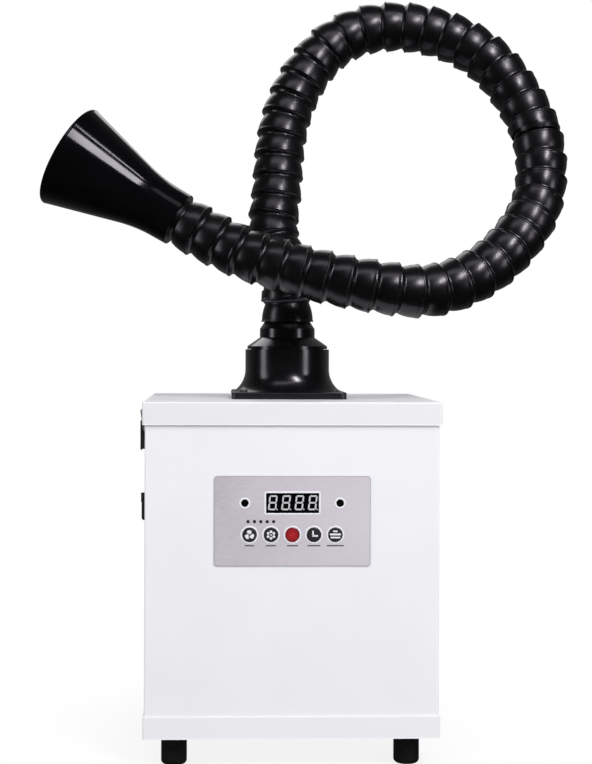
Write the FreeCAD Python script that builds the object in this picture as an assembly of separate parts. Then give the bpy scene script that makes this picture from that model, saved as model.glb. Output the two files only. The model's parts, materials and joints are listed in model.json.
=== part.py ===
import FreeCAD, Part
import math
import os
from FreeCAD import Vector as V

# Bench fume extractor: a sheet-steel filter cabinet with a self-holding ribbed arm.
# Millimetres. +X is right, +Y is away from the user, +Z is up.
# The origin is on the bench, under the middle of the cabinet.

# Clearances
fit_gap = 0.1        # nested sheet pieces
run_gap = 0.3        # pieces that move past each other
tiny = 0.01          # for telling edges apart
along = 0.9          # share of an edge's direction that counts as along an axis

# Cabinet
casing_w = 282.0
casing_d = 262.0
casing_h = 321.5     # underside of the tray to the top of the lid
sheet = 1.2
bend_r = 2.0         # outside radius of the folded edges
flange_w = 12.0      # inward flanges of the walls
lid_skirt = 22.0
lid_gap = 1.3        # wall to skirt
lid_round = 0.95
lid_hole_r = 41.0
tray_lip = 21.5
gasket_t = 4.0
gasket_w = 10.0

# Feet
foot_h = 30.0
foot_d = 25.0
foot_round = 4.0
foot_inset = 28.0
foot_recess_r = 5.6
foot_recess_h = 16.0
foot_screw_r = 2.5
foot_head_r = 4.8
foot_head_h = 3.0

# Control panel, measured from the lid's top and from the panel's middle
panel_drop = 113.5
overlay_w = 150.0
overlay_h = 86.4
overlay_t = 0.8
overlay_r = 3.5
display_w = 50.3
display_h = 18.8
display_up = 17.1
display_r = 0.4
display_inset = 0.15 # window behind the overlay's face
eye_d = 7.2
eye_x = 45.5
led_d = 3.0
led_pitch = 6.1
led_first_x = -42.4
led_count = 5
led_up = -0.5
button_d = 13.3
button_pitch = 20.5
button_up = -13.1
button_names = ["button_fan", "button_mode", "button_power", "button_timer", "button_level"]
button_proud = 1.2
button_round = 0.6
button_rim = 1.3     # flange behind the wall
button_travel = 0.6
board_w = 140.0
board_h = 80.0
board_t = 1.6
standoff_l = 6.2
standoff_r = 3.0
board_screw_r = 1.25
board_nut_r = 2.5
board_hole_inset = 6.0
tact_size = 6.0
tact_h = 3.5
tact_stem_r = 1.7

# Inner plates
shelf_z = 126.0      # underside of the filter shelf
partition_gap = 23.8 # front wall to partition
seal_t = 5.0
seal_w = 14.0

# Filters
filter_side_gap = 4.0
carbon_h = 60.0
filter_headroom = 38.8    # air space above the filters
prefilter_h = 20.0
tray_wall = 2.0
pleat_pitch = 10.0
pleat_sheet = 1.6

# Fan
eye_r = 56.0
ring_wall = 1.5
ring_flange_r = 75.0
ring_depth = 18.0
wheel_r = 85.0
wheel_plate = 2.0
wheel_h = 42.0       # back plate to the shroud's inlet edge
wheel_outlet_h = 32.0
shroud_inlet_r = 60.0
shroud_t = 1.6
blade_count = 7
blade_t = 2.0
blade_in_r = 36.0
blade_mid_rise = 13.3
blade_end_rise = 33.9
hub_r = 14.0
hub_h = 21.0
shaft_r = 4.0
motor_r = 42.0
motor_h = 27.0
motor_bore = 13.5    # depth of the shaft's bore in the motor
motor_boss_r = 12.0
motor_boss_h = 3.0
mount_plate = 2.0
mount_side = 112.0

# Rear panel
slot_w = 3.4
slot_h = 66.0
slot_pitch = 9.0
slot_inset = 28.0    # from the left wall
slot_margin = 15.0   # from the inlet
slot_z = 48.0        # lower ends
foam_t = 11.0
foam_margin = 4.0
rear_screw_r = 1.8
rear_head_r = 3.6
rear_head_h = 2.3
rear_screw_reach = 2.6

# Power inlet with rocker
inlet_inset = 33.0   # from the right wall
inlet_z = 82.0
inlet_w = 30.0
inlet_h = 56.0
inlet_flange = 2.5
inlet_body_w = 27.0
inlet_body_h = 47.0
inlet_depth = 24.0
socket_w = 24.4
socket_h = 16.4
socket_drop = 11.0   # below the inlet's middle
socket_depth = 17.0
pin_w = 2.0
pin_h = 4.0
pin_len = 12.0
pin_pitch = 7.0
pin_stagger = 2.0
rocker_w = 18.6
rocker_h = 12.6
rocker_up = 13.0
rocker_depth = 9.0   # of its well
rocker_back = 3.8    # behind its pivot
rocker_edge = 3.0    # in front of its pivot
rocker_dip = 1.3
rocker_bevel = 1.0
rocker_crest = 3.15  # from the middle to the two ridges
rocker_foot = 5.0
rocker_rest = 6.0    # degrees
rocker_gap = 0.5

# Power supply
supply_w = 118.0
supply_d = 42.0
supply_h = 31.0      # stays below the fan wheel
supply_wall = 1.5
supply_leg_h = 3.0
supply_leg_w = 4.0
supply_leg_x = 50.0
coil_w = 27.0
coil_d = 25.0
coil_x = 3.0
coil_h = 22.0
capacitor_r = 6.7
capacitor_h = 17.0
capacitor_xs = [-42.5, -26.5, 32.5, 46.0]
supply_gap = 2.8     # front wall to supply

# Side latches: o is the distance out from the wall
latch_w = 26.0
latch_plate = 1.5
latch_plate_h = 34.0
ear_t = 1.5
ear_y = 8.75
ear_r = 3.0
ear_drop = 5.8           # below the lever's pivot
lever_pivot_o = 5.2
lever_pivot_drop = 3.5   # below the skirt
lever_w = 20.0
lever_core_w = 16.0
lever_plate = 2.2
lever_cheek = 1.6
lever_cheek_o = 2.4
lever_len = 30.0
lever_hub_r = 3.3
lever_head = 1.5         # above the lever's pivot
lever_round = 0.9
lever_arm_in = 1.65      # inside the lever's pivot
lever_arm_under = 3.2    # below the bail's pivot
latch_pin_r = 1.5
bail_wire_r = 1.3
bail_leg_y = 12.6
bail_end_y = 5.6
bail_pivot_o = 6.4
bail_pivot_drop = 8.5    # below the lever's pivot
bail_top_o = 9.4
bail_rise = 20.5
keeper_w = 20.0
keeper_h = 13.0
keeper_t = 1.2
keeper_lip_o = 7.4
keeper_up = 2.0
hook_w = 14.0
hook_up = 2.0
hook_h = 2.4

# Side handles
handle_under = 111.0     # below the lid's top
handle_plate = 1.5
handle_plate_w = 104.0
handle_plate_h = 32.0
handle_rod_r = 3.0
handle_half = 37.0
handle_drop = 21.0
handle_pin_r = 2.0
lug_w = 7.0
lug_h = 9.0
lug_wall = 1.0

# Port on the lid
port_side = 116.0
port_plate = 7.0
port_corner_r = 6.0
port_round = 1.7
port_screw_inset = 12.0
port_screw_r = 2.0
port_head_r = 4.2
port_head_h = 2.6
port_screw_reach = 5.0
collar_r = 43.5
collar_h = 50.0      # above the lid
collar_straight = 20.0
collar_bore_r = 38.0
collar_land = 21.0   # depth of the narrow bore
flare_r = 55.0
flare_mid_r = 46.6
flare_mid_h = 9.7

# Swivel cap
cap_rim_r = 41.5
cap_rim_h = 3.0
cap_cone_h = 9.0
cuff_r = 28.5
cuff_h = 9.0
cuff_taper = 7.5
spigot_wall = 3.0
clip_h = 3.4
clip_out = 2.6

# Ribbed hose
lip_r = 27.0
belly_r = 26.3
waist_r = 24.8
root_r = 23.5
bore_r = 20.0
rib_pitch = 23.0
belly_at = 0.42      # shares of the pitch
waist_at = 0.80
root_at = 0.95
swivel_rib_count = 2
lower_arm_rib_count = 25
lower_spans = 4
upper_spans = 3

# Ball joints of the hose
ball_r = 22.5
ball_neck_r = 19.0
ball_bore_r = 16.5
ball_tip = 8.0
ball_back = 13.0
ball_shoulder = 17.0
lip_reach = 7.0      # socket lip, behind the ball's centre

# Nozzle
neck_r = 27.2
neck_tip_r = 27.8
neck_l = 35.5
neck_bore_l = 21.0
neck_blend = 24.0
mouth_r = 53.2
bell_l = 93.5
nozzle_wall = 2.4
mouth_bead = 3.0

# Places worked out from the sizes above
half_w = casing_w / 2
half_d = casing_d / 2
floor_z = foot_h + sheet
top_z = foot_h + casing_h
wall_top = top_z - sheet - gasket_t - run_gap
skirt_z = top_z - lid_skirt
inner_w = half_w - sheet
front_in = -half_d + sheet
partition_y = front_in + partition_gap
rear_out = half_d - sheet
rear_in = rear_out - sheet
panel_z = top_z - panel_drop
board_y = front_in + standoff_l
shelf_top = shelf_z + sheet
bay_front = partition_y + sheet
bay_y = (bay_front + rear_in) / 2
hepa_h = wall_top - filter_headroom - prefilter_h - carbon_h - seal_t - shelf_top
supply_y = front_in + supply_gap
inlet_x = half_w - inlet_inset
handle_z = top_z - handle_under
skirt_o = lid_gap + sheet
lever_z = skirt_z - lever_pivot_drop
bail_z = lever_z - bail_pivot_drop
handle_pivot_z = handle_z + handle_plate_h / 2 - lug_h / 2
handle_o = handle_plate + run_gap + handle_rod_r
collar_top = top_z + collar_h
cap_z = collar_top + run_gap
hose_z = cap_z + cap_rim_h + cap_cone_h + cuff_h + cuff_taper

# Control points of the hose's centreline: offsets from its foot on the swivel cap
hose_route = [
    (0, 0, 0), (0, 0, 48), (-17, 16, 92), (-11, 27, 128), (-6, 44, 204), (14, 58, 260),
    (50, 64, 305), (100, 60, 323), (160, 50, 316), (210, 36, 289), (243, 21, 246),
    (265, 0, 192), (262, -21, 132), (238, -42, 89), (196, -62, 49), (140, -80, 27),
    (84, -89, 33), (24, -87, 44), (-40, -78, 63), (-82, -68, 83), (-111, -63, 100),
]


def box(x0, x1, y0, y1, z0, z1):
    """A block between two corners, given in any order."""
    x0, x1 = sorted((x0, x1))
    y0, y1 = sorted((y0, y1))
    z0, z1 = sorted((z0, z1))
    return Part.makeBox(x1 - x0, y1 - y0, z1 - z0, V(x0, y0, z0))


def rod(radius, start, end):
    """A round bar between two points."""
    a, b = V(*start), V(*end)
    return Part.makeCylinder(radius, (b - a).Length, a, b - a)


def upright(solid):
    """The same solid with its faces pointing outwards."""
    return solid if solid.Volume > 0 else solid.reversed()


def prism(points, direction):
    """A polygon pushed along a direction."""
    corners = [V(*p) for p in points]
    face = Part.Face(Part.makePolygon(corners + corners[:1]))
    return upright(face.extrude(V(*direction)))


def rounded_plate(w, h, t, radius, centre, y_front):
    """A plate in the front plane with rounded corners, its face at y_front, t thick."""
    x, z = centre
    plate = box(x - w / 2, x + w / 2, y_front, y_front + t, z - h / 2, z + h / 2)
    edges = [e for e in plate.Edges if abs(e.tangentAt(e.FirstParameter).y) > along]
    return plate.makeFillet(radius, edges)


def turned(profile, base, axis=V(0, 0, 1)):
    """A closed profile of (radius, height) points turned about an axis through base."""
    points = [V(r, 0, h) for r, h in profile]
    face = Part.Face(Part.makePolygon(points + points[:1]))
    solid = upright(face.revolve(V(0, 0, 0), V(0, 0, 1), 360))
    solid.Placement = FreeCAD.Placement(base, FreeCAD.Rotation(V(0, 0, 1), axis))
    return solid


def joined(solids):
    """One solid made from touching solids."""
    first, rest = solids[0], solids[1:]
    return first.fuse(rest).removeSplitter() if rest else first


def save(name, solids):
    """Write a piece, or a group of equal pieces, under its name."""
    shape = solids if isinstance(solids, Part.Shape) else Part.Compound(solids)
    shape.exportStep("parts/" + name + ".step")


def corners(x, y):
    """The four places at plus and minus x and y."""
    return [(sx * x, sy * y) for sx in (-1, 1) for sy in (-1, 1)]


def folded_block(x, y, z0, z1):
    """A block with the folded sheet's rounded upright edges."""
    block = box(-x, x, -y, y, z0, z1)
    return block.makeFillet(bend_r, upright_edges(block))


def upright_edges(block):
    return [e for e in block.Edges if abs(e.tangentAt(e.FirstParameter).z) > along]


def make_feet():
    places = corners(half_w - foot_inset, half_d - foot_inset)
    r = foot_d / 2
    feet, screws = [], []
    for x, y in places:
        blank = Part.makeCylinder(r, foot_h, V(x, y, 0))
        rim = [e for e in blank.Edges if e.BoundBox.ZMax < tiny]
        foot = blank.makeFillet(foot_round, rim)
        foot = foot.cut(Part.makeCylinder(foot_recess_r, foot_recess_h, V(x, y, 0)))
        foot = foot.cut(Part.makeCylinder(foot_screw_r + fit_gap, foot_h, V(x, y, 0)))
        feet.append(foot)
        head_z = foot_recess_h - foot_head_h
        head = Part.makeCylinder(foot_head_r, foot_head_h, V(x, y, head_z))
        shank = Part.makeCylinder(foot_screw_r, floor_z + foot_head_h - head_z, V(x, y, head_z))
        nut = Part.makeCylinder(foot_head_r, foot_head_h, V(x, y, floor_z))
        screws.append(joined([head, shank, nut]))
    save("rubber_feet", feet)
    save("foot_screws", screws)


def make_tray():
    x = half_w + fit_gap
    y = half_d + fit_gap
    tray = folded_block(x + sheet, y + sheet, foot_h, foot_h + tray_lip)
    tray = tray.cut(folded_block(x, y, floor_z, foot_h + tray_lip + 1))
    for fx, fy in corners(half_w - foot_inset, half_d - foot_inset):
        tray = tray.cut(Part.makeCylinder(foot_screw_r + fit_gap, sheet, V(fx, fy, foot_h)))
    save("base_tray", tray)


def button_places():
    first = -button_pitch * (len(button_names) - 1) / 2
    return [(name, first + i * button_pitch) for i, name in enumerate(button_names)]


def led_places():
    return [led_first_x + i * led_pitch for i in range(led_count)]


def panel_holes(y0, y1, grow):
    """Bars through the front wall or overlay for everything on the control board."""
    w, h = display_w / 2 + grow, display_h / 2 + grow
    z = panel_z + display_up
    bars = [box(-w, w, y0, y1, z - h, z + h)]
    for x in (-eye_x, eye_x):
        bars.append(rod(eye_d / 2 + grow, (x, y0, z), (x, y1, z)))
    for x in led_places():
        z_led = panel_z + led_up
        bars.append(rod(led_d / 2 + grow, (x, y0, z_led), (x, y1, z_led)))
    for _, x in button_places():
        z_button = panel_z + button_up
        bars.append(rod(button_d / 2 + run_gap, (x, y0, z_button), (x, y1, z_button)))
    return bars


def make_casing():
    """Front and side walls in one folded sheet, with inward flanges."""
    shell = folded_block(half_w, half_d, floor_z, wall_top)
    shell = shell.cut(folded_block(inner_w, half_d - sheet, floor_z, wall_top))
    shell = shell.cut(box(-half_w, half_w, rear_out, half_d, floor_z, wall_top))
    pieces = [shell]
    for side in (-1, 1):
        inside = side * (inner_w - flange_w)
        pieces.append(box(side * inner_w, inside, rear_in, rear_out, floor_z, wall_top))
        pieces.append(box(side * inner_w, inside, front_in, rear_in, wall_top - sheet, wall_top))
    pieces.append(box(-inner_w, inner_w, front_in, front_in + flange_w, wall_top - sheet, wall_top))
    casing = joined(pieces)
    for bar in panel_holes(-half_d, front_in, fit_gap):
        casing = casing.cut(bar)
    for x, z in rear_screw_places():
        casing = casing.cut(rod(rear_screw_r + fit_gap, (x, rear_in, z), (x, rear_out, z)))
    save("casing", casing)


def rear_screw_places():
    x = inner_w - flange_w / 2
    low = foot_h + tray_lip + 3 * rear_head_r
    high = skirt_z - 2 * rear_head_r
    return [(sx * x, z) for sx in (-1, 1) for z in (low, (low + high) / 2, high)]


def slot_places():
    first = -half_w + slot_inset
    last = inlet_x - inlet_w / 2 - slot_margin
    return [first + i * slot_pitch for i in range(1 + int((last - first) / slot_pitch))]


def make_rear():
    panel = box(-half_w, half_w, rear_out, half_d, floor_z, wall_top)
    panel = panel.common(folded_block(half_w, half_d, floor_z, wall_top))
    lip_x = inner_w - flange_w - fit_gap
    lip = box(-lip_x, lip_x, rear_out - flange_w, rear_out, wall_top - sheet, wall_top)
    panel = joined([panel, lip])
    slots = []
    for x in slot_places():
        slots.append(box(x - slot_w / 2, x + slot_w / 2, rear_out, half_d, slot_z, slot_z + slot_h))
    panel = panel.cut(slots)
    w, h = inlet_body_w / 2 + fit_gap, inlet_body_h / 2 + fit_gap
    panel = panel.cut(box(inlet_x - w, inlet_x + w, rear_out, half_d, inlet_z - h, inlet_z + h))
    screws = []
    for x, z in rear_screw_places():
        panel = panel.cut(rod(rear_screw_r + fit_gap, (x, rear_out, z), (x, half_d, z)))
        head = rod(rear_head_r, (x, half_d, z), (x, half_d + rear_head_h, z))
        shank = rod(rear_screw_r, (x, rear_in - rear_screw_reach, z), (x, half_d, z))
        screws.append(joined([head, shank]))
    save("rear_panel", panel)
    save("rear_screws", screws)
    x0, x1 = slot_places()[0], slot_places()[-1]
    foam = box(x0 - foam_margin, x1 + foam_margin, rear_out - foam_t, rear_out,
               slot_z - foam_margin, slot_z + slot_h + foam_margin)
    save("exhaust_foam", foam)


def make_panel():
    """Overlay, display, receivers, lights, buttons and the board behind them."""
    face_y = -half_d - overlay_t
    overlay = rounded_plate(overlay_w, overlay_h, overlay_t, overlay_r, (0, panel_z), face_y)
    for bar in panel_holes(face_y, -half_d, fit_gap):
        overlay = overlay.cut(bar)
    save("control_overlay", overlay)

    z = panel_z + display_up
    lit_y = face_y + display_inset
    window = rounded_plate(display_w, display_h, board_y - lit_y, display_r, (0, z), lit_y)
    save("display_module", window)
    save("receiver_windows", [rod(eye_d / 2, (x, lit_y, z), (x, board_y, z)) for x in (-eye_x, eye_x)])
    lights = []
    for x in led_places():
        z_led = panel_z + led_up
        stem = rod(led_d / 2, (x, face_y, z_led), (x, board_y, z_led))
        lights.append(joined([stem, Part.makeSphere(led_d / 2, V(x, face_y + led_d / 4, z_led))]))
    save("speed_lights", lights)

    z = panel_z + button_up
    rim_y = front_in + run_gap
    switches = []
    for name, x in button_places():
        tip_y = face_y - button_proud
        cap = rod(button_d / 2, (x, tip_y, z), (x, rim_y + button_rim, z))
        edge = [e for e in cap.Edges if e.BoundBox.YMax < tip_y + tiny]
        cap = cap.makeFillet(button_round, edge)
        rim = rod(button_d / 2 + button_rim, (x, rim_y, z), (x, rim_y + button_rim, z))
        save(name, joined([cap, rim]))
        half = tact_size / 2
        body = box(x - half, x + half, board_y - tact_h, board_y, z - half, z + half)
        stem_y = min(rim_y + button_rim + button_travel + fit_gap, board_y - tact_h)
        stem = rod(tact_stem_r, (x, stem_y, z), (x, board_y, z))
        switches.append(joined([body, stem]))
    save("tact_switches", switches)

    w, h = board_w / 2, board_h / 2
    back_y = board_y + board_t
    board = box(-w, w, board_y, back_y, panel_z - h, panel_z + h)
    studs = []
    for x, dz in corners(w - board_hole_inset, h - board_hole_inset):
        z = panel_z + dz
        board = board.cut(rod(board_screw_r + fit_gap, (x, board_y, z), (x, back_y, z)))
        spacer = rod(standoff_r, (x, front_in, z), (x, board_y, z))
        thread = rod(board_screw_r, (x, board_y, z), (x, back_y, z))
        nut = rod(board_nut_r, (x, back_y, z), (x, back_y + board_t, z))
        studs.append(joined([spacer, thread, nut]))
    save("control_board", board)
    save("board_studs", studs)


def frame_block(x, y0, y1, z0, z1, wall):
    """A rectangular ring, open above and below."""
    outer = box(-x, x, y0, y1, z0, z1)
    return outer.cut(box(-x + wall, x - wall, y0 + wall, y1 - wall, z0, z1))


def make_filters():
    shelf = box(-inner_w, inner_w, front_in, rear_in, shelf_z, shelf_top)
    shelf = shelf.common(folded_block(inner_w, half_d - sheet, shelf_z, shelf_top))
    shelf = shelf.cut(Part.makeCylinder(eye_r + ring_wall, sheet, V(0, bay_y, shelf_z)))
    save("filter_shelf", shelf)
    save("partition", box(-inner_w, inner_w, partition_y, bay_front, shelf_top, wall_top - sheet))

    x = inner_w - filter_side_gap
    y0, y1 = bay_front + filter_side_gap, rear_in - filter_side_gap
    z = shelf_top
    save("filter_seal", frame_block(x, y0, y1, z, z + seal_t, seal_w))
    z += seal_t
    tray = frame_block(x, y0, y1, z, z + carbon_h, tray_wall)
    inside = box(-x + tray_wall, x - tray_wall, y0 + tray_wall, y1 - tray_wall, z, z + carbon_h)
    save("carbon_tray", tray)
    save("carbon_bed", inside)
    z += carbon_h
    save("hepa_frame", frame_block(x, y0, y1, z, z + hepa_h, tray_wall))
    save("hepa_pleats", pleats(x - tray_wall, y0 + tray_wall, y1 - tray_wall, z, z + hepa_h))
    z += hepa_h
    save("prefilter_pad", box(-x, x, y0, y1, z, z + prefilter_h))


def pleats(x, y0, y1, z0, z1):
    """One folded sheet, zigzag from side to side."""
    count = 2 * int(x / pleat_pitch)
    step = 2 * x / count
    low, high = z0, z1 - pleat_sheet
    under, over = [], []
    for i in range(count + 1):
        z = low if i % 2 == 0 else high
        under.append((-x + i * step, y0, z))
        over.append((-x + i * step, y0, z + pleat_sheet))
    return prism(under + over[::-1], (0, y1 - y0, 0))


def make_fan():
    axis = V(0, bay_y, 0)
    plate_top = floor_z + mount_plate
    half = mount_side / 2
    save("fan_mount", box(-half, half, bay_y - half, bay_y + half, floor_z, plate_top))
    motor_top = plate_top + motor_h
    boss_top = motor_top + motor_boss_h
    motor = joined([Part.makeCylinder(motor_r, motor_h, axis + V(0, 0, plate_top)),
                    Part.makeCylinder(motor_boss_r, motor_boss_h, axis + V(0, 0, motor_top))])
    bore_z = motor_top - motor_bore
    motor = motor.cut(Part.makeCylinder(shaft_r + run_gap, boss_top - bore_z, axis + V(0, 0, bore_z)))
    save("fan_motor", motor)

    back_z = boss_top + run_gap
    hub_top = back_z + hub_h
    shaft_z = bore_z + run_gap
    save("fan_shaft", Part.makeCylinder(shaft_r, hub_top - shaft_z, axis + V(0, 0, shaft_z)))
    solids = [Part.makeCylinder(wheel_r, wheel_plate, axis + V(0, 0, back_z)),
              Part.makeCylinder(hub_r, hub_top - back_z, axis + V(0, 0, back_z))]
    outlet, inlet = back_z + wheel_outlet_h, back_z + wheel_h
    shroud = turned([(shroud_inlet_r, inlet), (wheel_r, outlet), (wheel_r, outlet + shroud_t),
                     (shroud_inlet_r, inlet + shroud_t)], axis)
    for i in range(blade_count):
        solids.append(blade(back_z + wheel_plate, outlet + shroud_t / 2, i * 360 / blade_count))
    wheel = joined(solids + [shroud])
    wheel = wheel.cut(Part.makeCylinder(shaft_r, wheel_h, axis + V(0, 0, back_z)))
    save("impeller", wheel)

    ring_z = shelf_z - ring_depth
    out_r, under = eye_r + ring_wall, shelf_z - ring_wall
    ring = turned([(eye_r, ring_z), (out_r, ring_z), (out_r, under), (ring_flange_r, under),
                   (ring_flange_r, shelf_z), (eye_r, shelf_z)], axis)
    save("fan_inlet_ring", ring)


def blade(z0, z1, angle):
    """One backward-curved blade between the back plate and the shroud."""
    mid_r = (blade_in_r + wheel_r) / 2

    def arc(offset):
        a = V(blade_in_r, offset, z0)
        b = V(mid_r, offset + blade_mid_rise, z0)
        c = V(wheel_r - blade_t, offset + blade_end_rise, z0)
        return Part.Arc(a, b, c).toShape()

    inner, outer = arc(0), arc(blade_t)
    first = Part.makeLine(inner.Vertexes[0].Point, outer.Vertexes[0].Point)
    last = Part.makeLine(inner.Vertexes[1].Point, outer.Vertexes[1].Point)
    face = Part.Face(Part.Wire(Part.__sortEdges__([inner, last, outer, first])))
    solid = upright(face.extrude(V(0, 0, z1 - z0)))
    solid = solid.common(Part.makeCylinder(wheel_r, z1 - z0, V(0, 0, z0)))
    solid.rotate(V(0, 0, 0), V(0, 0, 1), angle)
    solid.translate(V(0, bay_y, 0))
    return solid


def make_power():
    y_out = half_d + inlet_flange
    y_in = half_d - inlet_depth
    w, h = inlet_w / 2, inlet_h / 2
    bw, bh = inlet_body_w / 2, inlet_body_h / 2
    body = joined([box(inlet_x - w, inlet_x + w, half_d, y_out, inlet_z - h, inlet_z + h),
                   box(inlet_x - bw, inlet_x + bw, y_in, half_d, inlet_z - bh, inlet_z + bh)])
    sw, sh = socket_w / 2, socket_h / 2
    z_socket = inlet_z - socket_drop
    y_socket = y_out - socket_depth
    body = body.cut(box(inlet_x - sw, inlet_x + sw, y_socket, y_out, z_socket - sh, z_socket + sh))
    rw, rh = rocker_w / 2 + rocker_gap, rocker_h / 2 + rocker_gap
    z_rocker = inlet_z + rocker_up
    y_well = y_out - rocker_depth
    body = body.cut(box(inlet_x - rw, inlet_x + rw, y_well, y_out, z_rocker - rh, z_rocker + rh))
    save("power_inlet", body)
    pins = []
    for i, up in ((-1, -1), (0, 1), (1, -1)):
        x, z = inlet_x + i * pin_pitch - pin_w / 2, z_socket + up * pin_stagger - pin_h / 2
        pins.append(box(x, x + pin_w, y_socket, y_socket + pin_len, z, z + pin_h))
    save("inlet_pins", pins)

    # The rocker's two faces meet in a shallow valley over its pivot.
    r, side = rocker_h / 2, rocker_edge - rocker_bevel
    profile = [(-rocker_back, -rocker_foot), (side, -r), (rocker_edge, -rocker_crest), (rocker_dip, 0),
               (rocker_edge, rocker_crest), (side, r), (-rocker_back, rocker_foot)]
    pivot = V(inlet_x - rocker_w / 2, y_out - rocker_edge, z_rocker)
    rocker = prism([(pivot.x, pivot.y + y, pivot.z + z) for y, z in profile], (rocker_w, 0, 0))
    rocker.rotate(pivot, V(1, 0, 0), rocker_rest)
    save("power_rocker", rocker)

    x = supply_w / 2
    y1 = supply_y + supply_d
    z1 = floor_z + supply_h
    case = box(-x, x, supply_y, y1, floor_z, z1)
    t = supply_wall
    case = case.cut(box(-x, x, supply_y + t, y1 - t, floor_z + t, z1 - t))
    board_z = floor_z + t + supply_leg_h
    top = board_z + board_t
    mid = supply_y + supply_d / 2
    parts = [case, box(-x + t, x - t, supply_y + t, y1 - t, board_z, top)]
    cw, cd = coil_w / 2, coil_d / 2
    parts.append(box(coil_x - cw, coil_x + cw, mid - cd, mid + cd, top, top + coil_h))
    for cx in capacitor_xs:
        parts.append(Part.makeCylinder(capacitor_r, capacitor_h, V(cx, mid, top)))
    w = supply_leg_w / 2
    for cx in (-supply_leg_x, supply_leg_x):
        parts.append(box(cx - w, cx + w, mid - w, mid + w, floor_z + t, board_z))
    save("power_supply", joined(parts))


def side_block(side, o0, o1, y0, y1, z0, z1):
    """A block on a side wall, from o0 to o1 out from the wall."""
    return box(side * (half_w + o0), side * (half_w + o1), y0, y1, z0, z1)


def side_rod(side, radius, start, end):
    """A round bar on a side wall, between two (o, y, z) points."""
    ends = [(side * (half_w + o), y, z) for o, y, z in (start, end)]
    return rod(radius, ends[0], ends[1])


def side_ball(side, radius, place):
    o, y, z = place
    return Part.makeSphere(radius, V(side * (half_w + o), y, z))


def make_latches():
    bases, keepers = [], []
    for side, word in ((-1, "left"), (1, "right")):
        w = latch_w / 2
        top = skirt_z - run_gap
        parts = [side_block(side, 0, latch_plate, -w, w, top - latch_plate_h, top)]
        o, z = lever_pivot_o, lever_z
        for end in (-1, 1):
            y0, y1 = end * ear_y, end * (ear_y + ear_t)
            parts.append(side_block(side, latch_plate, o, y0, y1, z - ear_drop, z + ear_r))
            parts.append(side_rod(side, ear_r, (o, y0, z), (o, y1, z)))
        pin_end = ear_y + ear_t + run_gap
        parts.append(side_rod(side, latch_pin_r, (o, -pin_end, z), (o, pin_end, z)))
        bases.append(joined(parts))
        save("latch_lever_" + word, latch_lever(side))
        save("latch_bail_" + word, latch_bail(side))
        keepers.append(latch_keeper(side))
    save("latch_bases", bases)
    save("latch_keepers", keepers)


def latch_lever(side):
    o, z = lever_pivot_o, lever_z
    core, half = lever_core_w / 2, lever_w / 2
    hub = side_rod(side, lever_hub_r, (o, -core, z), (o, core, z))
    plate_o = o + lever_hub_r
    plate_z = z + lever_head
    foot_z = plate_z - lever_len
    plate = side_block(side, plate_o, plate_o + lever_plate, -half, half, foot_z, plate_z)
    lip = [e for e in plate.Edges if e.BoundBox.ZMax < foot_z + tiny and e.BoundBox.YLength > half]
    plate = plate.makeFillet(lever_round, lip)
    under_z = bail_z - lever_arm_under
    arm = side_block(side, o - lever_arm_in, plate_o, -core, core, under_z, z)
    cheeks = []
    for y0, y1 in ((-half, lever_cheek - half), (half - lever_cheek, half)):
        cheeks.append(side_block(side, lever_cheek_o, plate_o, y0, y1, foot_z + lever_round, under_z))
    lever = joined([hub, arm, plate] + cheeks)
    lever = lever.cut(side_rod(side, latch_pin_r + run_gap, (o, -half, z), (o, half, z)))
    o, z = bail_pivot_o, bail_z
    return lever.cut(side_rod(side, bail_wire_r + run_gap, (o, -half, z), (o, half, z)))


def latch_bail(side):
    """A wire loop: two ends in the lever, two legs and a crossbar."""
    r, y = bail_wire_r, bail_leg_y
    top_z_bail = bail_z + bail_rise
    parts = [side_rod(side, r, (bail_top_o, -y, top_z_bail), (bail_top_o, y, top_z_bail))]
    for end in (-1, 1):
        foot = (bail_pivot_o, end * y, bail_z)
        head = (bail_top_o, end * y, top_z_bail)
        parts.append(side_rod(side, r, foot, head))
        parts.append(side_rod(side, r, (bail_pivot_o, end * bail_end_y, bail_z), foot))
        parts.append(side_ball(side, r, foot))
        parts.append(side_ball(side, r, head))
    return joined(parts)


def latch_keeper(side):
    """A plate on the skirt with an upturned hook."""
    w, hook = keeper_w / 2, hook_w / 2
    z = skirt_z + keeper_up
    o = skirt_o + keeper_t
    low = z + hook_up
    high = low + keeper_t
    parts = [side_block(side, skirt_o, o, -w, w, z, z + keeper_h),
             side_block(side, o, keeper_lip_o, -hook, hook, low, high),
             side_block(side, keeper_lip_o - keeper_t, keeper_lip_o, -hook, hook, high, high + hook_h)]
    return joined(parts)


def make_handles():
    plates = []
    for side, word in ((-1, "left"), (1, "right")):
        w, h = handle_plate_w / 2, handle_plate_h / 2
        parts = [side_block(side, 0, handle_plate, -w, w, handle_z - h, handle_z + h)]
        lug_in = handle_half + handle_rod_r + run_gap
        lug_out = lug_in + lug_w
        z = handle_pivot_z
        lug_top = handle_o + handle_pin_r + lug_wall
        holes = []
        for end in (-1, 1):
            y0, y1 = end * lug_in, end * lug_out
            parts.append(side_block(side, handle_plate, lug_top, y0, y1, z - lug_h / 2, z + lug_h / 2))
            holes.append(side_rod(side, handle_pin_r + run_gap, (handle_o, y0, z), (handle_o, y1, z)))
        plates.append(joined(parts).cut(holes))
        save("handle_bail_" + word, handle_bail(side, lug_out))
    save("handle_plates", plates)


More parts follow.
